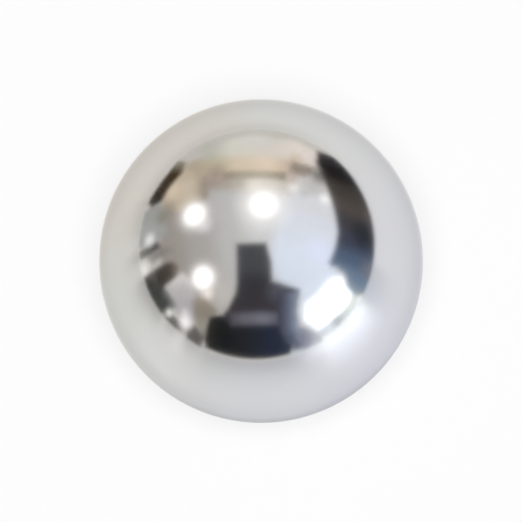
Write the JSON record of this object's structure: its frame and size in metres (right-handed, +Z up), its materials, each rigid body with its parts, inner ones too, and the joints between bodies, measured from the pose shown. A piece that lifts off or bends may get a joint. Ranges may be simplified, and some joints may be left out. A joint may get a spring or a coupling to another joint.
{
  "type": "steel ball",
  "caption": "Solid polished steel ball, a plain sphere that rolls, carries load in a seat or serves as a small weight.",
  "frame": {"origin": "centre of the ball", "axes": "+Z up; the ball is the same about every axis"},
  "size_m": [0.019, 0.019, 0.019],
  "materials": {
    "steel": "polished"
  },
  "bodies": {
    "root": {"ball": "steel"}
  },
  "joints": []
}
